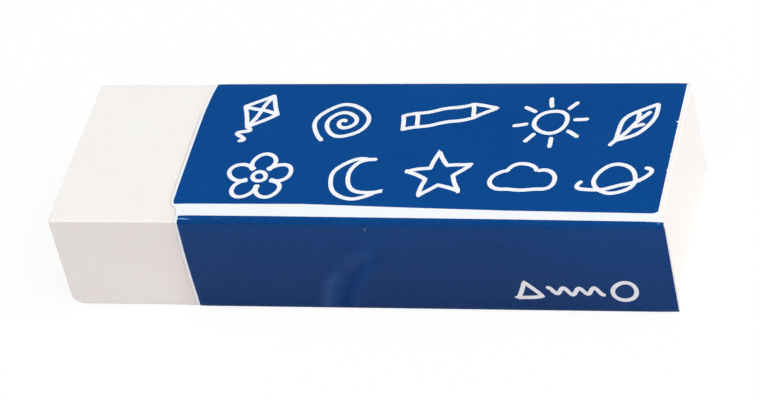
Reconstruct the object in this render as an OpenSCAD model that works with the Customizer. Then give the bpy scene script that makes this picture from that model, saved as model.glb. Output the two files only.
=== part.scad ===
// Plastic eraser: a vinyl block in a folded card sleeve.
// X runs along the block, Y across it, Z up. The origin is at the middle
// of the flat bottom, and the bare end of the block points to -X.

/* [Block] */
// Length of the vinyl block
block_len = 60; // [40:0.5:80]
// Width of the vinyl block
block_w = 20; // [14:0.5:30]
// Height of the vinyl block
block_h = 11; // [7:0.5:18]
// Radius of the four long edges of the block
long_edge_r = 0.35; // [0.1:0.05:1.2]
// Radius of the upper and lower edges of the two cut ends
cut_edge_r = 0.25; // [0.1:0.05:1.2]
// Radius of the upright edges of the two cut ends
corner_r = 0.3; // [0.1:0.05:1.2]
// Radius worn onto the lower edge of the bare end
worn_edge_r = 1.1; // [0.3:0.1:3]

/* [Card sleeve] */
// Length of the sleeve along the block
sleeve_len = 47.5; // [20:0.5:70]
// Distance from the sleeve's end to the covered end of the block
end_inset = 0; // [0:0.1:5]
// Thickness of the card
card_t = 0.18; // [0.12:0.02:0.4]
// Radius on the outside of each fold
fold_r = 0.5; // [0.45:0.05:1.5]
// Distance from the glue flap's free edge up to the inside of the top panel
flap_short = 1.2; // [0.5:0.1:4]
// Height of the outer back panel's free edge above the bottom
seam_lift = 0.7; // [0.5:0.1:3]

/* [Fit] */
// Gap between the block and the card at the front and at the back
side_gap = 0.03; // [0.02:0.01:0.3]
// Gap between the block and the card above it
top_gap = 0.03; // [0.02:0.01:0.3]

/* [Hidden] */
$fn = 48;

// Inside radius of a fold
fold_in_r = fold_r - card_t;
// The long edges are at least as round as the folds they lie in
long_r = max(long_edge_r, fold_in_r);
// Outside of the sleeve: one card in front, two glued cards at the back
sleeve_w = block_w + 2 * side_gap + 3 * card_t;
sleeve_h = block_h + top_gap + 2 * card_t;
// Outer face of the glue flap, where the outer back panel lies on it
flap_y = sleeve_w - card_t;
// Front lower edge of the block, measured from the sleeve's outer corner
block_y = card_t + side_gap;
block_z = card_t;
// Ends of the sleeve, measured from the bare end of the block
sleeve_end = block_len - end_inset;
sleeve_start = sleeve_end - sleeve_len;
// Length of the cutters that pass right through the block
through = 2 * (block_w + block_h);

// Moves the sleeve's outer front lower corner and the block's bare end
// to their places round the origin
module in_frame() {
    translate([-block_len / 2, -sleeve_w / 2, 0]) children();
}

// Rectangle with its lower corner at the origin and its own radius at each
// corner, in the order: lower left, lower right, upper right, upper left
module rounded_rect(w, h, r) {
    difference() {
        square([w, h]);
        corner_waste(0, 0, 1, 1, r[0]);
        corner_waste(w, 0, -1, 1, r[1]);
        corner_waste(w, h, -1, -1, r[2]);
        corner_waste(0, h, 1, -1, r[3]);
    }
}

// What a corner at (x, y) loses when it is rounded to radius r;
// sx and sy point from the corner into the rectangle
module corner_waste(x, y, sx, sy, r) {
    over = 1;
    low_x = min(x - sx * over, x + sx * r);
    low_y = min(y - sy * over, y + sy * r);
    difference() {
        translate([low_x, low_y]) square(r + over);
        translate([x + sx * r, y + sy * r]) circle(r);
    }
}

// Lays a section drawn in (Y, Z) along X
module along_x(length) {
    rotate([90, 0, 90]) linear_extrude(length) children();
}

// Lays a side view drawn in (X, Z) across the block along Y
module along_y(length) {
    translate([0, length, 0]) rotate([90, 0, 0]) linear_extrude(length) children();
}

// Solid vinyl block: the section, trimmed by its side view and its plan
module block_solid() {
    intersection() {
        along_x(block_len)
            rounded_rect(block_w, block_h, [long_r, long_r, long_r, long_r]);
        translate([0, -through / 2, 0])
            along_y(block_w + through)
                rounded_rect(block_len, block_h,
                             [worn_edge_r, cut_edge_r, cut_edge_r, cut_edge_r]);
        translate([0, 0, -through / 2])
            linear_extrude(block_h + through)
                rounded_rect(block_len, block_w,
                             [corner_r, corner_r, corner_r, corner_r]);
    }
}

// A fold: a quarter ring of card about (y, z), open towards sy and sz
module fold(y, z, sy, sz) {
    translate([y, z])
        intersection() {
            difference() {
                circle(fold_r);
                circle(fold_in_r);
            }
            translate([sy < 0 ? -fold_r : 0, sz < 0 ? -fold_r : 0])
                square(fold_r);
        }
}

// The strip of card as it is wrapped: flap, bottom, front, top, back
module sleeve_section() {
    low = fold_r;
    high = sleeve_h - fold_r;
    flap_top = sleeve_h - card_t - flap_short;
    // glue flap, inside the back panel
    translate([flap_y - card_t, low]) square([card_t, flap_top - low]);
    fold(flap_y - fold_r, low, 1, -1);
    // bottom panel
    translate([low, 0]) square([flap_y - 2 * fold_r, card_t]);
    fold(low, low, -1, -1);
    // front panel
    translate([0, low]) square([card_t, high - low]);
    fold(low, high, -1, 1);
    // top panel
    translate([low, sleeve_h - card_t]) square([sleeve_w - 2 * fold_r, card_t]);
    fold(sleeve_w - fold_r, high, 1, 1);
    // outer back panel, glued to the flap
    translate([flap_y, seam_lift]) square([card_t, high - seam_lift]);
}

module eraser_block() {
    color([0.95, 0.945, 0.925])
        in_frame()
            translate([0, block_y, block_z])
                block_solid();
}

module card_sleeve() {
    color([0.05, 0.27, 0.54])
        in_frame()
            translate([sleeve_start, 0, 0])
                along_x(sleeve_len) sleeve_section();
}

eraser_block();
card_sleeve();
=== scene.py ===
import math
import random

import bpy
import numpy as np
from mathutils import Matrix, Vector
from mathutils.geometry import delaunay_2d_cdt
from mathutils.kdtree import KDTree


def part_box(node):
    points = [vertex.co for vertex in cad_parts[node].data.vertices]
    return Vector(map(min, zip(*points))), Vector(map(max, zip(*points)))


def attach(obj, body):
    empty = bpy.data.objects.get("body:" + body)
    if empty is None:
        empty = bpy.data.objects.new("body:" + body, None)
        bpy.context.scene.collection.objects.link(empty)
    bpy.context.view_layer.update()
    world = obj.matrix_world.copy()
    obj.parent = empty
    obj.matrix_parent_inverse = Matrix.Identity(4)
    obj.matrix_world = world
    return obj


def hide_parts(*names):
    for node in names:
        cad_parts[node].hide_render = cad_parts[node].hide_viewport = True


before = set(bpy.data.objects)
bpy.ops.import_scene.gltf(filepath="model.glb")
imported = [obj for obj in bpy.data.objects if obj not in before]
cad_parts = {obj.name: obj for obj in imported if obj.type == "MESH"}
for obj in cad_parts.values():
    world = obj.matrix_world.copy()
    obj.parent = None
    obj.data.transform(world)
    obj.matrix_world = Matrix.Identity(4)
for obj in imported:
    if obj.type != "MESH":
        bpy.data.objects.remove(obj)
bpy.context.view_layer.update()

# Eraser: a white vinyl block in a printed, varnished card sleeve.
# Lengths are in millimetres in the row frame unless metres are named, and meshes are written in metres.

MM = 0.001
QUARTER = math.pi / 2
TINY = 1e-9         # room for rounding, and a guard against dividing by 0


def box_mm(node):
    """Lowest and highest corner of a CAD node, in millimetres."""
    low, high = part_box(node)
    return np.array(low) / MM, np.array(high) / MM


SLEEVE_LOW, SLEEVE_HIGH = box_mm("card_sleeve")
BLOCK_LOW, BLOCK_HIGH = box_mm("eraser_block")

# ---------------------------------------------------------------- the card

CARD = 0.12         # thickness of the card, inwards from the CAD's outer faces
CREASED = 0.05      # how much thinner it is where it is creased
CRUSHED = 0.6       # share of its thickness that its two cut ends have lost
PINCHED = 0.015     # and how far they bend in, on the top and the front
CUT_REACH = 0.4     # how far in from the cut ends both of these die away
PINCH_START = (0.0, 2.0)    # where the bend comes in, from the top panel's back edge,
PINCH_STOP = (5.0, 8.0)     # and where it goes out, down the front panel
FOLD_R = 0.5        # outside radius of a fold
FRONT_FOLD_R = 0.3  # but of the sharper one between top and front
BACK_FOLD_R = 0.8   # and of the softer one between back and top
SEAM_LIFT = 0.7     # height of the outer back panel's free edge
FLAP_SHORT = 1.2    # from the glue flap's free edge up to the top panel
GLUE = 0.01         # glue between the flap and the outer back panel

# ---------------------------------------------------------------- small tools


def smooth_step(low, high, value):
    """0 below low, 1 above high, and a smooth curve between."""
    t = np.clip((value - low) / (high - low), 0, 1)
    return t * t * (3 - 2 * t)


def bell(value, middle, width):
    """A Gaussian hump of height 1."""
    return np.exp(-((value - middle) / width) ** 2)


def wander(points, wavelength, count, seed):
    """Slow, smooth noise of about -1 to 1 at each point: the sum of that many plane waves."""
    rng = np.random.default_rng(seed)
    total = np.zeros(len(points))
    for _ in range(count):
        wave = rng.normal(size=points.shape[1])
        wave *= 2 * math.pi / (wavelength * np.linalg.norm(wave)) * rng.uniform(0.6, 1.5)
        total += np.sin(points @ wave + rng.uniform(0, 2 * math.pi))
    return total / math.sqrt(count)


def new_mesh(name, points_mm, faces, materials, face_material=None, sharp_deg=35):
    """A smooth-shaded mesh object from points in millimetres, linked to the scene."""
    mesh = bpy.data.meshes.new(name)
    mesh.from_pydata((np.asarray(points_mm) * MM).tolist(), [], faces)
    for material in materials:
        mesh.materials.append(material)
    if face_material is not None:
        mesh.polygons.foreach_set("material_index", np.asarray(face_material, np.int32))
    mesh.polygons.foreach_set("use_smooth", np.ones(len(mesh.polygons), bool))
    mesh.validate()
    mesh.update()
    mesh.set_sharp_from_angle(angle=math.radians(sharp_deg))
    piece = bpy.data.objects.new(name, mesh)
    bpy.context.scene.collection.objects.link(piece)
    return piece


def add_attribute(piece, name, values):
    """A number for each vertex, which a material can read."""
    layer = piece.data.attributes.new(name, "FLOAT", "POINT")
    layer.data.foreach_set("value", np.asarray(values, np.float32))


# ---------------------------------------------------------------- material tools


class Nodes:
    """Short calls for building a material's node tree."""

    def __init__(self, name):
        self.material = bpy.data.materials.new(name)
        self.material.use_nodes = True
        self.tree = self.material.node_tree
        self.tree.nodes.clear()
        self.output = self.tree.nodes.new("ShaderNodeOutputMaterial")
        self.place = self.add("ShaderNodeTexCoord").outputs["Object"]

    def add(self, kind, **settings):
        """A new node of that kind."""
        node = self.tree.nodes.new(kind)
        for key, value in settings.items():
            setattr(node, key, value)
        return node

    def put(self, socket, value):
        """Links value into socket if it is a socket, or else sets it."""
        if isinstance(value, bpy.types.NodeSocket):
            self.tree.links.new(value, socket)
        else:
            socket.default_value = value

    def principled(self, **inputs):
        """The surface: a Principled shader, its inputs named with _ for each space."""
        shader = self.add("ShaderNodeBsdfPrincipled")
        for key, value in inputs.items():
            self.put(shader.inputs[key.replace("_", " ")], value)
        self.tree.links.new(shader.outputs["BSDF"], self.output.inputs["Surface"])

    def math(self, operation, a, b):
        """Two numbers added, subtracted or multiplied."""
        node = self.add("ShaderNodeMath", operation=operation)
        self.put(node.inputs[0], a)
        self.put(node.inputs[1], b)
        return node.outputs[0]

    def stretched(self, scale):
        """The place on the piece, scaled along each axis."""
        node = self.add("ShaderNodeVectorMath", operation="MULTIPLY")
        self.put(node.inputs[0], self.place)
        self.put(node.inputs[1], scale)
        return node.outputs[0]

    def noise(self, size_mm, detail=3.0, rough=0.55, place=None, seed=0.0):
        """Noise of 0 to 1 whose features are about size_mm across."""
        node = self.add("ShaderNodeTexNoise", noise_dimensions="4D")
        self.put(node.inputs["Vector"], place or self.place)
        self.put(node.inputs["W"], seed)
        self.put(node.inputs["Scale"], 1 / (size_mm * MM))
        self.put(node.inputs["Detail"], detail)
        self.put(node.inputs["Roughness"], rough)
        return node.outputs["Fac"]

    def spots(self, size_mm, radius, seed=0.0):
        """1 inside small round spots scattered about size_mm apart, 0 outside."""
        node = self.add("ShaderNodeTexVoronoi", voronoi_dimensions="4D")
        self.put(node.inputs["Vector"], self.place)
        self.put(node.inputs["W"], seed)
        self.put(node.inputs["Scale"], 1 / (size_mm * MM))
        return self.ramp(node.outputs["Distance"], radius, radius * 0.5)

    def ramp(self, value, low, high, to_low=0.0, to_high=1.0):
        """Maps low..high to to_low..to_high, smoothly and clamped; low may be above high."""
        node = self.add("ShaderNodeMapRange", interpolation_type="SMOOTHSTEP")
        if low > high:
            low, high, to_low, to_high = high, low, to_high, to_low
        for socket, number in zip(node.inputs, (value, low, high, to_low, to_high)):
            self.put(socket, number)
        return node.outputs["Result"]

    def patch(self, flat, x, distance, half_length, half_width, lean):
        """1 in the middle of a soft-edged ellipse on the flat sheet, 0 well outside it."""
        node = self.add("ShaderNodeMapping", vector_type="TEXTURE")
        self.put(node.inputs["Vector"], flat)
        self.put(node.inputs["Location"], (x, distance, 0))
        self.put(node.inputs["Rotation"], (0, 0, math.radians(lean)))
        self.put(node.inputs["Scale"], (half_length, half_width, 1))
        away = self.add("ShaderNodeVectorMath", operation="LENGTH")
        self.put(away.inputs[0], node.outputs[0])
        return self.ramp(away.outputs["Value"], 1.3, 0.3)

    def attribute(self, name):
        """A number that the mesh holds for each vertex."""
        return self.add("ShaderNodeAttribute", attribute_name=name).outputs["Fac"]

    def mix(self, amount, a, b):
        """The colour a where amount is 0 and b where it is 1."""
        node = self.add("ShaderNodeMix", data_type="RGBA")
        self.put(node.inputs["Factor"], amount)
        self.put(node.inputs["A"], a)
        self.put(node.inputs["B"], b)
        return node.outputs["Result"]

    def bump(self, height, depth_mm, normal=None):
        """Height of 0 to 1 as a bump of that depth."""
        node = self.add("ShaderNodeBump")
        self.put(node.inputs["Height"], height)
        self.put(node.inputs["Distance"], depth_mm * MM)
        self.put(node.inputs["Strength"], 1.0)
        if normal:
            self.put(node.inputs["Normal"], normal)
        return node.outputs["Normal"]


def from_srgb(red, green, blue):
    """A colour written in 0..255 as the linear values a shader takes."""
    levels = np.array([red, green, blue]) / 255
    linear = np.where(levels <= 0.04045, levels / 12.92, ((levels + 0.055) / 1.055) ** 2.4)
    return (*linear.tolist(), 1.0)


# ---------------------------------------------------------------- materials

BLUE_INK = from_srgb(6, 71, 141)
DEEP_INK = from_srgb(4, 67, 135)
# The darker blue that painted shade pulls the ink towards
SHADED_BLUE = from_srgb(6, 43, 96)
THIN_INK = from_srgb(30, 92, 158)
# The paler blue of a painted highlight along the dent's outer ridge
HIGHLIGHT_BLUE = from_srgb(85, 140, 210)
# The paler blue of a painted sheen on the folds
SHEEN_BLUE = from_srgb(90, 150, 185)
RUBBED_INK = from_srgb(150, 190, 225)
WHITE_COAT = from_srgb(240, 244, 249)
GREY_COAT = from_srgb(226, 232, 238)
RAW_CARD = from_srgb(244, 243, 238)
WARM_CARD = from_srgb(240, 238, 232)
CARD_FIBRE = from_srgb(222, 218, 208)
VINYL = from_srgb(242, 241, 238)
VINYL_WARM = from_srgb(242, 239, 236)
VINYL_RUBBED = from_srgb(232, 229, 222)
# The vinyl darkened as painted shade along the sleeve's left edge
VINYL_SHADED = from_srgb(238, 232, 227)

# Rubbed spots in the blue: (x, distance from the front fold's upper edge, half length, half width,
# lean in degrees, strength)
RUBS = [(-16.6, -0.18, 0.55, 0.07, 2, 0.8), (-16.2, -0.1, 0.6, 0.09, 6, 0.4),
        (-12.95, -0.23, 0.5, 0.05, 0, 0.16), (29.9, 0.0, 0.17, 0.1, 0, 0.3),
        (1.56, 1.0, 0.22, 0.1, 85, 0.35), (1.84, 0.73, 0.1, 0.08, 0, 0.14)]

# The painted shade on the vinyl along the sleeve's left edge: how far out of the sleeve it reaches, how
# far inside it is darkest, and how far inside it ends
EDGE_SHADE_OUT, EDGE_SHADE_PEAK, EDGE_SHADE_IN = 2.2, 0.1, 0.9

CREASE_SHEEN = 0.02     # share of a painted sheen's colour in the middle of a fold
DUST = 0.5              # share of white in a speck of dust
DULL_FULL = 0.65        # amount of dulling at which the ink has no shine left


def varnish_bump(nodes):
    """The slight orange peel of a varnished card, over its slower waviness."""
    fibre = nodes.noise(0.25, detail=4)
    wave = nodes.noise(3.5, detail=2, seed=3.0)
    return nodes.bump(fibre, 0.0015, nodes.bump(wave, 0.012))


def varnish_roughness(nodes):
    """Gloss that is duller where the card has been handled."""
    smudge = nodes.noise(6.0, detail=5, rough=0.6, seed=7.0)
    return nodes.ramp(smudge, 0.3, 0.75, 0.24, 0.36)


def flat_place(nodes):
    """The place on the flat sheet in mm: X, and the distance from the front fold's upper edge."""
    along = nodes.add("ShaderNodeSeparateXYZ")
    nodes.put(along.inputs[0], nodes.stretched((1 / MM, 1 / MM, 1 / MM)))
    flat = nodes.add("ShaderNodeCombineXYZ")
    nodes.put(flat.inputs["X"], along.outputs["X"])
    nodes.put(flat.inputs["Y"], nodes.attribute("from_fold"))
    return flat.outputs[0]


def ink_material():
    """Blue ink under varnish, with painted shade: darker on the front panel, down it and across the front
    fold, and in and about the dent, where painted highlights lie too; a faint painted sheen on the folds;
    rubbed in places, and speckled by dust.
    """
    nodes = Nodes("blue_ink")
    tone = nodes.ramp(nodes.noise(9.0, detail=4, seed=1.0), 0.3, 0.7)
    blue = nodes.mix(tone, DEEP_INK, BLUE_INK)
    # Painted shade: the blue darkened on the front panel, more so lower down and across the front fold,
    # and painted lighter or darker about the dent
    blue = nodes.mix(nodes.attribute("painted_blue_shade"), blue, SHADED_BLUE)
    mottle = nodes.ramp(nodes.noise(0.5, detail=3, seed=2.0), 0.25, 0.75, 0.0, 0.12)
    blue = nodes.mix(mottle, blue, THIN_INK)
    # Painted highlight: the blue paled in patches along the dent's outer ridge
    dent_highlight = nodes.math("MULTIPLY", nodes.attribute("dent_highlight"),
                       nodes.ramp(nodes.noise(1.2, detail=4, seed=12.0), 0.2, 0.8, 0.1, 0.3))
    blue = nodes.mix(dent_highlight, blue, HIGHLIGHT_BLUE)
    # Painted sheen: the blue paled a little in the middle of each fold
    sheen = nodes.math("MULTIPLY", nodes.attribute("crease"), CREASE_SHEEN)
    blue = nodes.mix(sheen, blue, SHEEN_BLUE)
    flat = flat_place(nodes)
    for *place, strength in RUBS:
        blue = nodes.mix(nodes.math("MULTIPLY", nodes.patch(flat, *place), strength), blue, RUBBED_INK)
    dust = nodes.math("MULTIPLY", nodes.spots(3.2, 0.028, seed=5.0),
                      nodes.ramp(nodes.noise(9.0, detail=1, seed=6.0), 0.45, 0.6))
    blue = nodes.mix(nodes.math("MULTIPLY", dust, DUST), blue, WHITE_COAT)
    shine = nodes.ramp(nodes.attribute("dulled"), 0.0, DULL_FULL, 1.0, 0.0)
    nodes.principled(Base_Color=blue, Roughness=varnish_roughness(nodes),
                     Specular_IOR_Level=0.13, Specular_Tint=shine, Normal=varnish_bump(nodes))
    return nodes.material


def coated_material():
    """The card's own white under the varnish."""
    nodes = Nodes("coated_white")
    grey = nodes.ramp(nodes.noise(4.0, detail=5, seed=11.0), 0.4, 0.8, 0.0, 0.25)
    nodes.principled(Base_Color=nodes.mix(grey, WHITE_COAT, GREY_COAT),
                     Roughness=varnish_roughness(nodes), Specular_IOR_Level=0.2,
                     Normal=varnish_bump(nodes))
    return nodes.material


def card_material():
    """Uncoated card: the inside of the sleeve and its cut edges, with short fibres."""
    nodes = Nodes("raw_card")
    fibre = nodes.noise(0.3, detail=6, rough=0.7, place=nodes.stretched((0.35, 1.0, 1.0)), seed=8.0)
    cloud = nodes.noise(2.5, detail=4, seed=9.0)
    colour = nodes.mix(nodes.ramp(cloud, 0.3, 0.7), RAW_CARD, WARM_CARD)
    colour = nodes.mix(nodes.ramp(fibre, 0.55, 0.8, 0.0, 0.3), colour, CARD_FIBRE)
    nodes.principled(Base_Color=colour, Roughness=0.85, Specular_IOR_Level=0.25,
                     Normal=nodes.bump(fibre, 0.012))
    return nodes.material


def vinyl_material():
    """Soft white vinyl: matt, faintly translucent, drawn along its length, knife-cut at its ends, and with
    painted shade along the sleeve's left edge.
    """
    nodes = Nodes("white_vinyl")
    cloud = nodes.ramp(nodes.noise(8.0, detail=4, seed=21.0), 0.3, 0.7)
    colour = nodes.mix(cloud, VINYL, VINYL_WARM)
    rubbed = nodes.ramp(nodes.noise(1.1, detail=6, rough=0.65, seed=22.0), 0.55, 0.8, 0.0, 0.18)
    colour = nodes.mix(rubbed, colour, VINYL_RUBBED)
    # Painted shade: the vinyl darkened in a patchy band along and under the sleeve's left edge
    along = nodes.add("ShaderNodeSeparateXYZ")
    nodes.put(along.inputs[0], nodes.place)
    left, middle, right = [(SLEEVE_LOW[0] + place) * MM for place in (-EDGE_SHADE_OUT, EDGE_SHADE_PEAK, EDGE_SHADE_IN)]
    near = nodes.ramp(along.outputs["X"], left, middle)
    under = nodes.ramp(along.outputs["X"], right, middle)
    patchy = nodes.ramp(nodes.noise(1.6, detail=3, seed=27.0), 0.25, 0.7, 0.6, 1.0)
    edge_shade = nodes.math("MULTIPLY", nodes.math("MULTIPLY", near, under), patchy)
    colour = nodes.mix(edge_shade, colour, VINYL_SHADED)
    drawn = nodes.noise(0.35, detail=4, place=nodes.stretched((0.04, 1.0, 1.0)), seed=23.0)
    knife = nodes.noise(0.3, detail=4, place=nodes.stretched((1.0, 1.0, 0.05)), seed=24.0)
    grain = nodes.noise(0.12, detail=3, seed=25.0)
    ends = nodes.attribute("cut_end")
    sides = nodes.math("SUBTRACT", 1.0, ends)
    marks = nodes.math("ADD", nodes.math("MULTIPLY", knife, ends), nodes.math("MULTIPLY", drawn, sides))
    normal = nodes.bump(marks, 0.012, nodes.bump(nodes.noise(2.2, detail=3, seed=26.0), 0.03))
    rough = nodes.ramp(grain, 0.2, 0.8, 0.5, 0.62)
    nodes.principled(Base_Color=colour, Roughness=rough, Specular_IOR_Level=0.35,
                     Subsurface_Weight=0.15, Subsurface_Radius=(1.0, 0.8, 0.7), Subsurface_Scale=0.0006,
                     Normal=nodes.bump(grain, 0.006, normal))
    return nodes.material


# ---------------------------------------------------------------- the card's section


def walk_the_card():
    """The card's outer face in section, from the outer back panel's free edge round to the glue flap's.

    Each stretch is (name, developed start, length, start point (y, z), heading, radius), where a
    panel's radius is 0 and a fold turns left by a quarter. Headings run from +Y towards +Z.
    A fold is named after the panel before it."""
    half_width, height = SLEEVE_HIGH[1], SLEEVE_HIGH[2]
    panels = [("back", height - BACK_FOLD_R - SEAM_LIFT, BACK_FOLD_R),
              ("top", 2 * half_width - BACK_FOLD_R - FRONT_FOLD_R, FRONT_FOLD_R),
              ("front", height - FRONT_FOLD_R - FOLD_R, FOLD_R),
              ("bottom", 2 * (half_width - FOLD_R) - CARD - GLUE, FOLD_R),
              ("flap", height - CARD - FLAP_SHORT - FOLD_R, 0.0)]
    stretches = []
    place, heading, run = np.array([half_width, SEAM_LIFT]), QUARTER, 0.0
    for name, length, radius in panels:
        stretches.append((name, run, length, place, heading, 0.0))
        run += length
        along = np.array([math.cos(heading), math.sin(heading)])
        inward = np.array([-along[1], along[0]])
        place = place + length * along
        if radius:
            stretches.append((name + "_fold", run, radius * QUARTER, place, heading, radius))
            run += radius * QUARTER
            place = place + radius * (along + inward)
            heading += QUARTER
    return stretches


STRETCHES = walk_the_card()
STARTS = {stretch[0]: stretch[1] for stretch in STRETCHES}
LENGTHS = {stretch[0]: stretch[2] for stretch in STRETCHES}
CARD_END = STARTS["flap"] + LENGTHS["flap"]
TOP_EDGE = STARTS["top_fold"]       # where the top panel meets the front fold
FRONT_EDGE = STARTS["front"]        # where that fold meets the front panel


def section_at(run):
    """Outer face of the flat-sided card at developed distances: points (y, z) and outward normals."""
    points, normals = np.zeros((len(run), 2)), np.zeros((len(run), 2))
    for _, start, length, place, heading, radius in STRETCHES:
        here = (run >= start - TINY) & (run <= start + length + TINY)
        far = run[here] - start
        turn = heading + (far / radius if radius else 0 * far)
        out = np.column_stack([np.sin(turn), -np.cos(turn)])
        if radius:
            centre = place + radius * np.array([-math.sin(heading), math.cos(heading)])
            points[here] = centre + radius * out
        else:
            points[here] = place + far[:, None] * np.array([math.cos(heading), math.sin(heading)])
        normals[here] = out
    return points, normals


# How far each panel springs off the block in its middle, and how much more (or less) at its cut ends
SPRING = {"back": (0.06, 0.05), "top": (0.07, 0.04), "front": (0.1, -0.08)}
FLARE_REACH = 5.0   # how far from a cut end the extra spring dies away

# The pinched dent in the front panel has a valley between two curved ridges: lines of (x, z)
DENT_OUTER = [(-4.2, 0.8), (-3.4, 3.0), (-2.6, 4.5), (-1.6, 5.8), (-0.3, 6.8), (1.5, 7.6)]
DENT_SLOPE = [(-3.3, 0.8), (-2.6, 2.8), (-1.8, 4.3)]
DENT_VALLEY = [(-2.3, 0.8), (-1.7, 2.6), (-0.8, 4.4), (0.2, 5.7), (1.1, 6.7)]
DENT_INNER = [(-1.0, 0.9), (-0.5, 2.8), (0.2, 4.3), (0.9, 5.5), (1.6, 6.8)]
DENT_END = [(2.0, 6.7), (2.5, 7.1)]

# Soft strokes along those lines, as (line, half width, amount), and first how they raise or sink the card
DENT = [(DENT_VALLEY, 2.6, 0.12), (DENT_OUTER, 0.6, 0.08), (DENT_VALLEY, 0.55, -0.14),
        (DENT_INNER, 0.45, 0.1)]
# How much painted highlight they lay on the blue, along the outer ridge
DENT_HIGHLIGHTS = [(DENT_OUTER, 0.6, 0.24), (DENT_OUTER[:3], 0.45, 0.36)]
# How much painted shade they add to the blue: less, so it is painted lighter, on the inner ridge and on
# the slope up to the outer one, and more past the dent's end
DENT_SHADES = [(DENT_INNER, 0.5, -0.33), (DENT_SLOPE, 0.7, -0.22), (DENT_END, 0.4, 0.3)]
# How they dull the varnish, which is crazed between the ridges
DULLED = [(DENT_VALLEY[:3], 0.6, 0.25), (DENT_VALLEY, 1.1, 0.15), (DENT_INNER, 1.1, 0.2)]


def across_panel(run, panel):
    """-1 at the panel's first edge and before it, 0 in its middle, 1 at its last edge and beyond."""
    return np.clip((run - STARTS[panel]) / LENGTHS[panel] * 2 - 1, -1, 1)


def spring_at(along, run):
    """How far the card stands off its flat-sided form, outward."""
    rise = np.zeros(len(run))
    ends = bell(along, SLEEVE_LOW[0], FLARE_REACH) + bell(along, SLEEVE_HIGH[0], FLARE_REACH)
    for panel, (middle, flare) in SPRING.items():
        rise += (1 - across_panel(run, panel) ** 2) ** 2 * (middle + flare * ends)
    dent = (1 - across_panel(run, "front") ** 4) * strokes_at(along, run, DENT)
    return np.maximum(rise + dent, 0)


def strokes_at(along, run, strokes):
    """Sum of soft strokes over the front panel."""
    z = FRONT_EDGE + LENGTHS["front"] + FOLD_R - run
    spots = np.column_stack([along, z])
    total = np.zeros(len(run))
    for line, width, height in strokes:
        total += height * bell(distance_to_line(spots, np.array(line)), 0, width)
    return total


def card_surface(along, run):
    """Points of the card's printed face at (x, developed distance)."""
    section, normals = section_at(run)
    raised = section + normals * spring_at(along, run)[:, None]
    return np.column_stack([along, raised])


def card_normals(along, run):
    """Outward normals of the printed face, from small steps each way."""
    step = 0.01
    low, high = np.clip(run - step, 0, CARD_END), np.clip(run + step, 0, CARD_END)
    down_card = card_surface(along, high) - card_surface(along, low)
    along_card = card_surface(along + step, run) - card_surface(along - step, run)
    normals = np.cross(down_card, along_card)
    return normals / np.linalg.norm(normals, axis=1)[:, None]


# ---------------------------------------------------------------- how the blank is cut

# The two cut ends aren't quite square: (distance from the front fold's upper edge, shift along X)
LEFT_CUT = [(-31.0, 0.0), (-21.2, -0.3), (-19.8, -0.5), (-18.2, -0.73), (-15.7, -0.87), (-2.6, -0.85),
            (-2.25, -0.7), (-1.95, -0.25), (-1.6, -0.02), (-1.0, 0.1), (-0.4, 0.16), (0.0, 0.2),
            (0.5, 0.19), (1.2, 0.16), (4.8, 0.1), (7.4, 0.12), (10.5, 0.19), (15.9, 0.1), (42.0, 0.0)]
RIGHT_CUT = [(-31.0, -0.25), (-18.7, -0.30), (-1.5, -0.26), (-0.3, 0.47), (0.6, 0.6), (11.1, 0.55),
             (15.9, 0.3), (31.0, -0.25), (42.0, -0.25)]


def cut_shift(run, table):
    """Shift of a cut end at developed distances, through the table's points."""
    places, shifts = zip(*table)
    return np.interp(run - TOP_EDGE, places, shifts)


def left_cut(run):
    """X of the left cut end."""
    return SLEEVE_LOW[0] + cut_shift(run, LEFT_CUT)


def right_cut(run):
    """X of the right cut end."""
    return SLEEVE_HIGH[0] + cut_shift(run, RIGHT_CUT)


# ---------------------------------------------------------------- the print

LEFT_MARGIN = 0.3       # unprinted edge along the left cut end
RIGHT_MARGIN = 0.14     # and along the right one
BLEED = 0.6             # how far the blue runs past the last fold onto the flap
STROKE = 0.44           # width of the drawn lines
LINE_STEP = 0.16        # spacing of the points along them
SWAY = 0.07             # how far the pen sways off the plain shapes
SWAY_RATES = (1.7, 1.9)     # and how fast, going up and going along, in radians for each mm

# The white stripe beside the front fold, drawn slightly askew: (x, distance from the fold's upper edge)
STRIPE_TOP = [(-18.5, -2.25), (-5.2, -2.32), (0.0, -2.12), (5.0, -1.91), (15.0, -1.58), (29.1, -1.32),
              (29.35, -1.42), (29.5, -1.6), (31.0, -1.62)]
STRIPE_LOW = [(-18.5, -0.64), (-8.0, -0.61), (5.0, -0.49), (15.0, -0.4), (31.0, -0.19)]


def stripe_line(along, table):
    """Developed distance of one of the stripe's edges at x."""
    places, distances = zip(*table)
    return TOP_EDGE + np.interp(along, places, distances)


def arc(radius, start_deg, end_deg, centre=(0, 0), flat=1.0, count=28):
    """Points along an arc of a circle, or of an ellipse when flat isn't 1."""
    turns = np.radians(np.linspace(start_deg, end_deg, count))
    return np.column_stack([centre[0] + radius * np.cos(turns), centre[1] + flat * radius * np.sin(turns)])


def turned(points, degrees):
    """The points turned about the origin."""
    c, s = math.cos(math.radians(degrees)), math.sin(math.radians(degrees))
    return np.column_stack([points[:, 0] * c - points[:, 1] * s, points[:, 0] * s + points[:, 1] * c])


def closed(points):
    """The line through the points and back to the first."""
    return np.vstack([points, points[:1]])


# The shapes below are lists of lines that fill about -1 to 1 both ways.


def star(points=5, inner=0.42):
    """A star whose inner corners lie at that share of its radius."""
    turns = np.radians(90 + np.arange(2 * points) * 180 / points)
    radii = np.where(np.arange(2 * points) % 2, inner, 1.0)
    return [closed(np.column_stack([radii * np.cos(turns), radii * np.sin(turns)]))]


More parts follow.
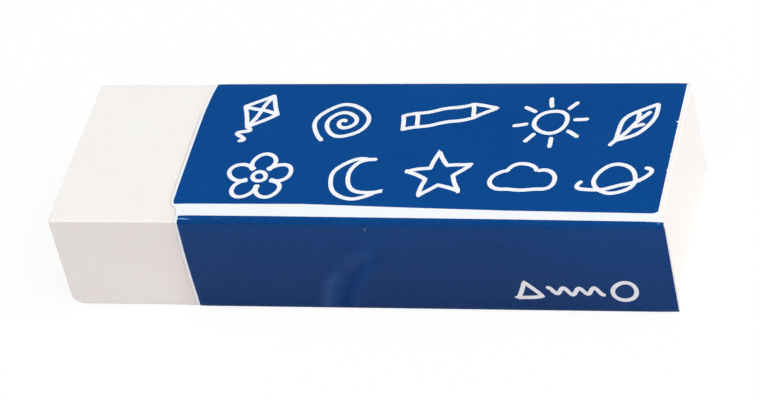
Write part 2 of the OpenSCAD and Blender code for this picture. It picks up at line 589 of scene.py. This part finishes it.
def spiral(turns=2.6):
    """A spiral from the middle outwards."""
    t = np.linspace(0.06, 1, 90)
    angle = t * turns * 2 * math.pi
    return [np.column_stack([t * np.cos(angle), t * np.sin(angle)])]


def sun():
    """A ring with eight short rays."""
    lines = [arc(0.46, 0, 360)]
    for turn in np.radians(np.arange(0, 360, 45)):
        ray = np.array([math.cos(turn), math.sin(turn)])
        lines.append(np.array([ray * 0.68, ray]))
    return lines


def cloud():
    """Three puffs, as (x, y, radius, first and last angle), on a flat base."""
    puffs = [(-0.55, -0.05, 0.36, 95, 270), (-0.12, 0.22, 0.42, 20, 165), (0.5, -0.02, 0.38, -90, 110)]
    lines = [arc(radius, first, last, (x, y)) for x, y, radius, first, last in puffs]
    return lines + [np.array([[-0.55, -0.41], [0.5, -0.4]])]


def flower(petals=5):
    """Round petals about a small ring."""
    lines = [arc(0.2, 0, 360, count=18)]
    for turn in np.arange(petals) * 360 / petals + 90:
        middle = 0.62 * np.array([math.cos(math.radians(turn)), math.sin(math.radians(turn))])
        lines.append(arc(0.35, turn - 140, turn + 140, middle, count=24))
    return lines


def crayon():
    """A crayon lying on its side, with a pointed tip."""
    body = np.array([[-1.0, -0.22], [0.5, -0.22], [1.0, 0.0], [0.5, 0.22], [-1.0, 0.22]])
    return [closed(body), np.array([[0.5, -0.22], [0.5, 0.22]]), np.array([[-0.7, -0.22], [-0.7, 0.22]])]


def ringed_ball():
    """A planet with a ring about it."""
    return [arc(0.55, 0, 360), arc(1.0, 152, 388, flat=0.3)]


def kite():
    """A kite with its two spars and a wavy tail."""
    sail = closed(np.array([[0, 1.0], [0.55, 0.35], [0, -0.45], [-0.55, 0.35]]))
    t = np.linspace(0, 1, 24)
    tail = np.column_stack([0.16 * np.sin(t * 9), -0.45 - 0.6 * t])
    return [sail, np.array([[0, 1.0], [0, -0.45]]), np.array([[-0.55, 0.35], [0.55, 0.35]]), tail]


def leaf():
    """A leaf with its stalk and two veins."""
    t = np.linspace(0, 1, 24)
    side = np.column_stack([0.42 * np.sin(math.pi * t), 2 * t - 1])
    return [np.vstack([side, side[::-1] * (-1, 1)]), np.array([[0, -1.25], [0, 0.55]]),
            np.array([[0, -0.3], [0.24, 0.02]]), np.array([[0, 0.05], [-0.22, 0.36]])]


def moon():
    """A crescent."""
    return [np.vstack([arc(0.9, 60, 300), arc(0.78, 285, 75, (0.42, 0.0))])]


def squiggle(waves=3.5):
    """A wavy line."""
    t = np.linspace(-1, 1, 60)
    return [np.column_stack([t, 0.16 * np.sin(t * waves * math.pi)])]


def ring():
    """A plain ring."""
    return [arc(1.0, 0, 360)]


def triangle():
    """A plain triangle."""
    return [closed(np.array([[-0.95, -0.7], [0.95, -0.7], [0.0, 0.95]]))]


# Each drawing: (shape, x, height above the panel's front or bottom edge, size, lean in degrees)
TOP_DRAWINGS = [
    (kite, -12.6, 15.0, 3.4, -18), (spiral, -3.4, 14.3, 3.1, 20), (crayon, 7.0, 15.4, 4.6, 14),
    (sun, 17.2, 14.4, 3.5, 8), (leaf, 25.6, 14.3, 3.1, -32), (flower, -10.2, 6.4, 3.3, 0),
    (moon, -0.2, 6.2, 3.1, 18), (star, 7.6, 6.8, 3.3, 10), (cloud, 16.0, 6.2, 3.5, 0),
    (ringed_ball, 24.8, 6.3, 3.6, 18)]
FRONT_DRAWINGS = [
    (triangle, 16.2, 2.9, 1.25, 8), (squiggle, 20.9, 2.9, 2.6, 0), (ring, 25.6, 2.9, 1.15, 0)]


def drawn_lines():
    """Every line of the print as points (x, developed distance), with the slight wobble of a pen."""
    rng = random.Random(4)
    front_bottom = STARTS["front_fold"] + FOLD_R
    front_of_top = TOP_EDGE + FRONT_FOLD_R
    lines = []
    for drawings, origin in ((TOP_DRAWINGS, front_of_top), (FRONT_DRAWINGS, front_bottom)):
        for shape, x, up, size, lean in drawings:
            phases = (rng.uniform(0, 6), rng.uniform(0, 6))
            for points in shape():
                points = resample(points * size, LINE_STEP)
                sway = SWAY * np.column_stack([np.sin(points[:, 1] * SWAY_RATES[0] + phases[0]),
                                               np.sin(points[:, 0] * SWAY_RATES[1] + phases[1])])
                across, away = turned(points + sway, lean).T
                lines.append(np.column_stack([x + across, origin - up - away]))
    return lines


def resample(points, step):
    """The same line with its points about step apart, keeping its corners."""
    out = [points[:1]]
    for a, b in zip(points[:-1], points[1:]):
        count = max(1, int(np.linalg.norm(b - a) / step))
        out.append(a + (b - a) * (np.arange(1, count + 1) / count)[:, None])
    return np.vstack(out)


JOINED = 0.02       # a line whose two ends are nearer than this has no ends
CAP_STEPS = 6       # steps round the end of a drawn line


def outline_of(points, half_width):
    """The outline of a pen line with round ends, or the two outlines of one without ends."""
    way = np.gradient(points, axis=0)
    way /= np.maximum(np.linalg.norm(way, axis=1), TINY)[:, None]
    side = np.column_stack([-way[:, 1], way[:, 0]]) * half_width
    if np.linalg.norm(points[0] - points[-1]) < JOINED:
        return [points[:-1] + side[:-1], points[:-1] - side[:-1]]
    caps = np.radians(np.linspace(90, -90, CAP_STEPS + 1)[1:-1])
    start, end = math.atan2(*way[0][::-1]), math.atan2(*way[-1][::-1])
    end_cap = points[-1] + half_width * np.column_stack([np.cos(end + caps), np.sin(end + caps)])
    start_cap = points[0] - half_width * np.column_stack([np.cos(start + caps), np.sin(start + caps)])
    return [np.vstack([points + side, end_cap, (points - side)[::-1], start_cap])]


# Chips out of the print: (x, distance from the front fold's upper edge, half length, half width, lean)
CHIPS = [(29.52, -14.2, 0.14, 0.1, 20), (29.62, -9.5, 0.13, 0.1, 0), (29.6, -7.3, 0.1, 0.08, 0)]


def chip_outline(x, distance, half_length, half_width, lean):
    """Outline of a chip on the flat sheet: a small leaning ellipse."""
    ellipse = arc(1.0, 0, 330, count=12) * (half_length, half_width)
    return turned(ellipse, -lean) + (x, TOP_EDGE + distance)


# ---------------------------------------------------------------- building the sleeve

GRID_ALONG = 0.6        # spacing of the sheet's mesh along X
GRID_PANEL = 0.55       # and down its flat panels
GRID_DENT = 0.25        # along X over the dent, and down the whole front panel
DENT_RANGE = (-6.5, 4.5)    # the dent's reach in X
GRID_LEFT, GRID_RIGHT = 1.2, 1.0    # how far inside the CAD sleeve's ends the grid points stop
FOLD_STEPS = 8          # steps round each fold
CLEAR_OF_LINES = 0.12   # no grid point is nearer than this to a drawn line,
CLEAR_OF_STRIPE = 0.03  # or than this to one of the stripe's edges
CLEAR_OF_CUT = 0.05     # and no point of the stripe's edges is nearer than this to their two ends
WELD = 1e-5             # points nearer than this become one


def sheet_rows():
    """Developed distances of the mesh's rows, close together round the folds."""
    rows = [0.0]
    for name, start, length, _, _, radius in STRETCHES:
        spacing = GRID_DENT if name == "front" else GRID_PANEL
        count = FOLD_STEPS if radius else max(1, round(length / spacing))
        rows += (start + length * np.arange(1, count + 1) / count).tolist()
    return np.array(rows)


class SheetPlan:
    """Points and edges of the flat sheet, gathered for the triangulation."""

    def __init__(self):
        self.points, self.edges = [], []

    def line(self, points, close=False):
        """Adds the points, joined up by edges."""
        first = len(self.points)
        self.points += [tuple(p) for p in points]
        last = len(self.points) - 1
        self.edges += [(i, i + 1) for i in range(first, last)]
        if close:
            self.edges.append((last, first))


def grid_columns():
    """Places in X of the grid points."""
    return np.concatenate([np.arange(SLEEVE_LOW[0] + GRID_LEFT, DENT_RANGE[0], GRID_ALONG),
                           np.arange(*DENT_RANGE, GRID_DENT),
                           np.arange(DENT_RANGE[1], SLEEVE_HIGH[0] - GRID_RIGHT, GRID_ALONG)])


def stripe_edge(columns, table):
    """Points along one of the stripe's edges, from one unprinted margin to the other."""
    first, last = stripe_line(SLEEVE_LOW[0], table), stripe_line(SLEEVE_HIGH[0], table)
    low, high = left_cut(first) + LEFT_MARGIN, right_cut(last) - RIGHT_MARGIN
    places = np.union1d(columns, [x for x, _ in table])
    places = places[(places > low + CLEAR_OF_CUT) & (places < high - CLEAR_OF_CUT)]
    places = np.concatenate([[low], places, [high]])
    return np.column_stack([places, stripe_line(places, table)])


def grid_points(rows, columns, outlines):
    """The grid points that are clear of the stripe's edges and of the drawn outlines."""
    taken = KDTree(sum(len(loop) for loop in outlines))
    for i, point in enumerate(np.vstack(outlines)):
        taken.insert((*point, 0.0), i)
    taken.balance()
    points = []
    for row in rows[1:-1]:
        off_stripe = np.all([abs(row - stripe_line(columns, table)) >= CLEAR_OF_STRIPE
                             for table in (STRIPE_TOP, STRIPE_LOW)], axis=0)
        points += [(x, row) for x in columns[off_stripe]
                   if taken.find((x, row, 0.0))[2] > CLEAR_OF_LINES]
    return points


def sheet_mesh(lines):
    """Triangles of the flat sheet, whose edges follow the cut outline, the folds and the print."""
    rows, columns = sheet_rows(), grid_columns()
    left = np.column_stack([left_cut(rows), rows])
    right = np.column_stack([right_cut(rows), rows])
    outlines = [loop for points in lines for loop in outline_of(points, STROKE / 2)]
    outlines += [chip_outline(*chip) for chip in CHIPS]
    sheet = SheetPlan()
    sheet.line(np.vstack([left, right[::-1]]), close=True)
    sheet.line(left + (LEFT_MARGIN, 0))
    sheet.line(right - (RIGHT_MARGIN, 0))
    for table in (STRIPE_TOP, STRIPE_LOW):
        sheet.line(stripe_edge(columns, table))
    for loop in outlines:
        sheet.line(loop, close=True)
    sheet.points += grid_points(rows, columns, outlines)
    flat = [Vector(point) for point in sheet.points]
    points, _, faces, _, _, _ = delaunay_2d_cdt(flat, sheet.edges, [], 0, WELD, False)
    points, faces = np.array([tuple(point) for point in points]), np.array(faces)
    middle = points[faces].mean(1)
    inside = middle[:, 0] > np.interp(middle[:, 1], rows, left[:, 0])
    inside &= middle[:, 0] < np.interp(middle[:, 1], rows, right[:, 0])
    return points, faces[inside]


def distance_to_line(spots, line):
    """Distance from each spot to a line of points."""
    best = np.full(len(spots), np.inf)
    for a, b in zip(line[:-1], line[1:]):
        way = b - a
        t = np.clip((spots - a) @ way / max(way @ way, TINY), 0, 1)
        best = np.minimum(best, np.linalg.norm(spots - (a + t[:, None] * way), axis=1))
    return best


INK, COATED, RAW = 0, 1, 2      # the sleeve's three materials


def colour_of(spots, lines):
    """Which material each spot of the printed face has."""
    along, run = spots[:, 0], spots[:, 1]
    white = (along < left_cut(run) + LEFT_MARGIN) | (along > right_cut(run) - RIGHT_MARGIN)
    white |= (run > stripe_line(along, STRIPE_TOP)) & (run < stripe_line(along, STRIPE_LOW))
    for line in lines:
        low, high = line.min(0) - STROKE, line.max(0) + STROKE
        near = np.all((spots > low) & (spots < high), axis=1)
        white[near] |= distance_to_line(spots[near], line) < STROKE / 2
    for x, distance, half_length, half_width, lean in CHIPS:
        lengthwise, sideways = turned(spots - (x, TOP_EDGE + distance), lean).T
        white |= np.hypot(lengthwise / half_length, sideways / half_width) < 1
    flap = run > STARTS["flap"] - QUARTER * FOLD_R + BLEED
    return np.where(flap, RAW, np.where(white, COATED, INK))


CREASE_SPREAD = 0.6     # half width of a crease, as a share of its fold's length


def creases(run):
    """1 in the middle of each fold and 0 a little way off it."""
    wear = np.zeros(len(run))
    for name in LENGTHS:
        if name.endswith("_fold"):
            middle = STARTS[name] + LENGTHS[name] / 2
            wear = np.maximum(wear, bell(run, middle, CREASE_SPREAD * LENGTHS[name]))
    return wear


# The share of painted shade in the blue, which darkens the front panel but not the top and back
SHADE_FROM, SHADE_TO = -0.6, 0.2    # it comes in between these distances from the front fold's upper edge
FRONT_SHADE = 0.47                # the share at the front panel's upper edge, before what is taken off
SHADE_SLOPE = 0.035               # more for each mm further down
PALE_FOLD, PALE_REACH = 0.14, 0.8       # less near that edge, and how far down this reaches
PALE_RIGHT, PALE_RANGE = 0.18, (15, 28)     # less towards the right end, and where in X this comes in
# Soft bands along the front fold, of painted shade and of duller varnish: (distance from its upper edge,
# half width, amount)
FOLD_SHADE = (0.15, 0.25, 0.2)
FOLD_DULL = (0.35, 0.6, 0.4)


def fold_band(run, distance, half_width, amount):
    """A soft band along the front fold."""
    return amount * bell(run, TOP_EDGE + distance, half_width)


def painted_blue_shade(along, run):
    """Share of painted shade in the blue: none on the top and back, most at the front panel's lower edge.
    """
    below = np.clip(run - FRONT_EDGE, 0, LENGTHS["front"])
    front = np.clip((run - TOP_EDGE - SHADE_FROM) / (SHADE_TO - SHADE_FROM), 0, 1)
    paler = PALE_RIGHT * smooth_step(*PALE_RANGE, along) + PALE_FOLD * np.exp(-below / PALE_REACH)
    depth = front * (FRONT_SHADE + SHADE_SLOPE * below - paler + strokes_at(along, run, DENT_SHADES))
    return depth + fold_band(run, *FOLD_SHADE)


def rim_walls(faces, count):
    """Quads that join the sheet's rim to the rim of its copy, whose points come count places later."""
    sides = np.vstack([faces[:, [0, 1]], faces[:, [1, 2]], faces[:, [2, 0]]])
    edges, uses = np.unique(np.sort(sides, 1), axis=0, return_counts=True)
    rim = {tuple(edge) for edge in edges[uses == 1].tolist()}
    walls = []
    for face in faces.tolist():
        for a, b in zip(face, face[1:] + face[:1]):
            if (min(a, b), max(a, b)) in rim:
                walls.append([a, b, b + count, a + count])
    return walls


def make_sleeve():
    """The folded sleeve: the printed face, the same sheet one card further in, and the cut edges."""
    lines = drawn_lines()
    sheet, faces = sheet_mesh(lines)
    along, run = sheet[:, 0], np.clip(sheet[:, 1], 0, CARD_END)
    plain, normals = card_surface(along, run), card_normals(along, run)
    from_cut = np.minimum(along - left_cut(run), right_cut(run) - along)
    thick, near_cut = CARD - CREASED * creases(run), bell(from_cut, 0, CUT_REACH)
    comes_in = smooth_step(*PINCH_START, run - STARTS["top"])
    goes_out = smooth_step(*PINCH_STOP, run - FRONT_EDGE)
    pinch = PINCHED * comes_in * (1 - goes_out) * near_cut
    outer = plain - (CRUSHED * thick * near_cut + pinch)[:, None] * normals
    inner = plain - (thick + pinch)[:, None] * normals
    outside = faces[:, ::-1].tolist()
    inside = (faces + len(sheet)).tolist()
    walls = rim_walls(faces, len(sheet))
    colours = colour_of(sheet[faces].mean(1), lines)
    kinds = colours.tolist() + [RAW] * (len(inside) + len(walls))
    materials = [ink_material(), coated_material(), card_material()]
    sleeve = new_mesh("printed_sleeve", np.vstack([outer, inner]), outside + inside + walls,
                      materials, kinds)
    dent_highlight = strokes_at(along, run, DENT_HIGHLIGHTS)
    dulled = strokes_at(along, run, DULLED) + fold_band(run, *FOLD_DULL)
    for name, values in (("from_fold", run - TOP_EDGE), ("crease", creases(run)),
                         ("painted_blue_shade", painted_blue_shade(along, run)), ("dent_highlight", np.clip(dent_highlight, 0, 1)),
                         ("dulled", np.clip(dulled, 0, 1))):
        add_attribute(sleeve, name, np.tile(values, 2))
    return sleeve


# ---------------------------------------------------------------- the vinyl block

BLOCK_GRID = 0.5        # spacing of the block's mesh
EDGE_ROWS = [0, 0.03, 0.06, 0.1, 0.16, 0.26, 0.4, 0.6, 0.85, 1.15, 1.5]     # and its rows near the edges
SWELL = 0.05            # how far its long faces stand out past the CAD block's
EDGE_R = 0.2            # its long edges
FRONT_TOP_R = 0.17      # but for the one at the top front
END_R = 0.12            # the edges of its cut ends
WORN_R = 1.3            # the lower edge of the bare end
END_SWELL = 0.18        # how far the bare end stands out past the CAD block's
END_SKEW = 0.16         # and how much less at the back
END_REACH = 3.0         # how far along the block this dies away
PRESS = 0.02            # how deep the surface dips below the flat faces
PRESS_WAVE = 7.0        # and how far apart the dips lie
KNIFE_REACH = 0.15      # how far the knife's marks reach round from a cut end
ONTO_STEP = 1e-4        # step for the slopes by which the grid is moved onto the rounded block
ONTO_ROUNDS = 6         # and how many times it is moved


def grid_places(length):
    """Places of the mesh's rows along one side, close together near both ends."""
    half = length / 2
    count = max(2, round((half - EDGE_ROWS[-1]) / BLOCK_GRID))
    rows = EDGE_ROWS[:-1] + np.linspace(EDGE_ROWS[-1], half, count + 1).tolist()
    return np.array(rows + [length - place for place in rows[-2::-1]])


def cube_grid(size):
    """A closed grid over the faces of a box from 0 to size: points and quads, with shared edges."""
    places = [grid_places(length) for length in size]
    last = [len(rows) - 1 for rows in places]
    index, points, quads = {}, [], []

    def corner(spot):
        """Number of the point at that spot of the grid, added when it is new."""
        if spot not in index:
            index[spot] = len(points)
            points.append([rows[i] for rows, i in zip(places, spot)])
        return index[spot]

    for axis in range(3):
        u, v = (axis + 1) % 3, (axis + 2) % 3
        for level in (0, last[axis]):
            for a in range(last[u]):
                for b in range(last[v]):
                    quad = []
                    for da, db in ((0, 0), (1, 0), (1, 1), (0, 1)):
                        spot = [0, 0, 0]
                        spot[axis], spot[u], spot[v] = level, a + da, b + db
                        quad.append(corner(tuple(spot)))
                    quads.append(quad if level else quad[::-1])
    return np.array(points), quads


def past_edge(past_a, past_b, radius):
    """Signed distance to two faces that meet in a rounded edge, from the distances past each of them."""
    a, b = past_a + radius, past_b + radius
    return np.hypot(np.maximum(a, 0), np.maximum(b, 0)) + np.minimum(np.maximum(a, b), 0) - radius


def block_distance(points, size):
    """Signed distance to the block: its long side seen from the front, with edges rounded all round."""
    half = size / 2
    x, y, z = (points - half).T
    corner = np.where((x < 0) & (z < 0), WORN_R, END_R)
    side = past_edge(np.abs(x) - half[0], np.abs(z) - half[2], corner)
    edge = np.where((y < 0) & (z > 0), FRONT_TOP_R, EDGE_R)
    return past_edge(side, np.abs(y) - half[1], edge)


def onto_block(points, size):
    """The points moved onto the rounded block, and the outward directions there."""
    for _ in range(ONTO_ROUNDS):
        out = np.column_stack([block_distance(points + step, size) - block_distance(points - step, size)
                               for step in ONTO_STEP * np.eye(3)])
        out /= np.maximum(np.linalg.norm(out, axis=1), TINY)[:, None]
        points = points - out * block_distance(points, size)[:, None]
    return points, out


def make_block():
    """The whole block, its part inside the sleeve too, with rounded and worn edges."""
    low = BLOCK_LOW - (0, SWELL, SWELL)
    size = BLOCK_HIGH + (0, SWELL, SWELL) - low
    flat, quads = cube_grid(size)
    rounded, out = onto_block(flat, size)
    uneven = wander(rounded, PRESS_WAVE, count=5, seed=31).clip(-1, 1)
    rounded -= out * (PRESS * (0.5 + 0.5 * uneven))[:, None]
    back = smooth_step(0, size[1], rounded[:, 1])
    rounded[:, 0] += (END_SKEW * back - END_SWELL) * bell(rounded[:, 0], 0, END_REACH)
    block = new_mesh("vinyl_block", rounded + low, quads, [vinyl_material()], sharp_deg=80)
    ends = np.maximum(bell(flat[:, 0], 0, KNIFE_REACH), bell(flat[:, 0], size[0], KNIFE_REACH))
    add_attribute(block, "cut_end", ends)
    return block


# ---------------------------------------------------------------- stage, light and camera

# The main view's camera, matched to the photo
VIEW_AZIMUTH, VIEW_HEIGHT, VIEW_ROLL = 21.14, 40.57, 13.78      # degrees
AIM = (-0.00106, 0.00228, 0.00283)      # the point it looks at, in metres
VIEW_DISTANCE = 0.392                   # and how far from there it stands, in metres
SENSOR, LENS = 36.0, 189.5  # mm

LAMP_DISTANCE, LAMP_SIZE = 2.5, 2.2     # metres
AMBIENT = 0.11          # light from all round
FLOOR_SEEN = 0.93       # the floor's colour as the camera sees it
FLOOR_LIT = 0.75        # and as it lights the object from below
FLOOR_WHITE = 0.92      # how much of it the camera sees as plain white, which softens the shadow
FLOOR_HALF = 1.5        # half its width, in metres
FLOOR_DROP = 0.02       # how far it lies below the object, in mm


def direction(azimuth, height):
    """Unit vector towards a place seen at that azimuth (0 is the front, 90 the right) and height."""
    a, h = math.radians(azimuth), math.radians(height)
    return Vector((math.sin(a) * math.cos(h), -math.cos(a) * math.cos(h), math.sin(h)))


def make_camera():
    """The camera of the main view."""
    camera = bpy.data.cameras.new("camera")
    camera.sensor_width, camera.lens = SENSOR, LENS
    camera.clip_start, camera.clip_end = 0.01, 20.0
    holder = bpy.data.objects.new("camera", camera)
    bpy.context.scene.collection.objects.link(holder)
    out = direction(VIEW_AZIMUTH, VIEW_HEIGHT)
    level = Vector((0, 0, 1)).cross(out).normalized()
    turn = Matrix.Rotation(-math.radians(VIEW_ROLL), 3, out)
    right = turn @ level
    up = out.cross(right)
    axes = Matrix((right, up, out)).transposed()
    holder.matrix_world = Matrix.Translation(Vector(AIM) + out * VIEW_DISTANCE) @ axes.to_4x4()
    bpy.context.scene.camera = holder


def softbox(name, azimuth, height, level, colour=(1.0, 1.0, 1.0)):
    """A square area lamp at the object; at level 1 it shows a facing white surface as 1."""
    lamp = bpy.data.lights.new(name, "AREA")
    lamp.shape = "SQUARE"
    lamp.size = LAMP_SIZE
    lamp.energy = level * (math.pi * LAMP_DISTANCE) ** 2
    lamp.color = colour
    holder = bpy.data.objects.new(name, lamp)
    bpy.context.scene.collection.objects.link(holder)
    out = direction(azimuth, height)
    holder.location = out * LAMP_DISTANCE
    holder.rotation_euler = out.to_track_quat("Z", "Y").to_euler()


def make_lights():
    """Three lamps, each with its azimuth, height, level and colour."""
    softbox("key", 75, 53, 1.26)
    softbox("fill", 30, 8, 0.21, (1.0, 0.62, 0.6))
    softbox("left", -80, 15, 0.6)


def make_world():
    """White to the camera, a low even light to the object. Glossy rays see that low light too,
    because nothing here is metal or glass: it only gives the varnish its faint sheen."""
    world = bpy.data.worlds.new("studio")
    bpy.context.scene.world = world
    world.use_nodes = True
    tree = world.node_tree
    shader = tree.nodes["Background"]
    rays = tree.nodes.new("ShaderNodeLightPath")
    strength = tree.nodes.new("ShaderNodeMapRange")
    strength.inputs["To Min"].default_value = AMBIENT
    strength.inputs["To Max"].default_value = 1.0
    tree.links.new(rays.outputs["Is Camera Ray"], strength.inputs["Value"])
    tree.links.new(strength.outputs["Result"], shader.inputs["Strength"])
    shader.inputs["Color"].default_value = (1, 1, 1, 1)


def make_floor():
    """A pale sheet that keeps the object's shadow."""
    corners = [(FLOOR_HALF * x, FLOOR_HALF * y, 0) for x, y in ((-1, -1), (1, -1), (1, 1), (-1, 1))]
    mesh = bpy.data.meshes.new("floor")
    mesh.from_pydata(corners, [], [(0, 1, 2, 3)])
    floor = bpy.data.objects.new("floor", mesh)
    floor.location.z = -FLOOR_DROP * MM
    bpy.context.scene.collection.objects.link(floor)
    nodes = Nodes("paper_floor")
    seen = nodes.add("ShaderNodeLightPath").outputs["Is Camera Ray"]
    tone = nodes.ramp(seen, 0.0, 1.0, FLOOR_LIT, FLOOR_SEEN)
    paper = nodes.add("ShaderNodeBsdfDiffuse")
    nodes.put(paper.inputs["Color"], tone)
    white = nodes.add("ShaderNodeEmission")
    mix = nodes.add("ShaderNodeMixShader")
    nodes.put(mix.inputs[0], nodes.math("MULTIPLY", seen, FLOOR_WHITE))
    nodes.put(mix.inputs[1], paper.outputs[0])
    nodes.put(mix.inputs[2], white.outputs[0])
    nodes.put(nodes.output.inputs["Surface"], mix.outputs[0])
    mesh.materials.append(nodes.material)


make_camera()
make_world()
make_lights()
make_floor()

sleeve = make_sleeve()
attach(sleeve, "sleeve")
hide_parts("card_sleeve")

block = make_block()
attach(block, "block")
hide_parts("eraser_block")

bpy.context.scene.view_settings.view_transform = "Standard"
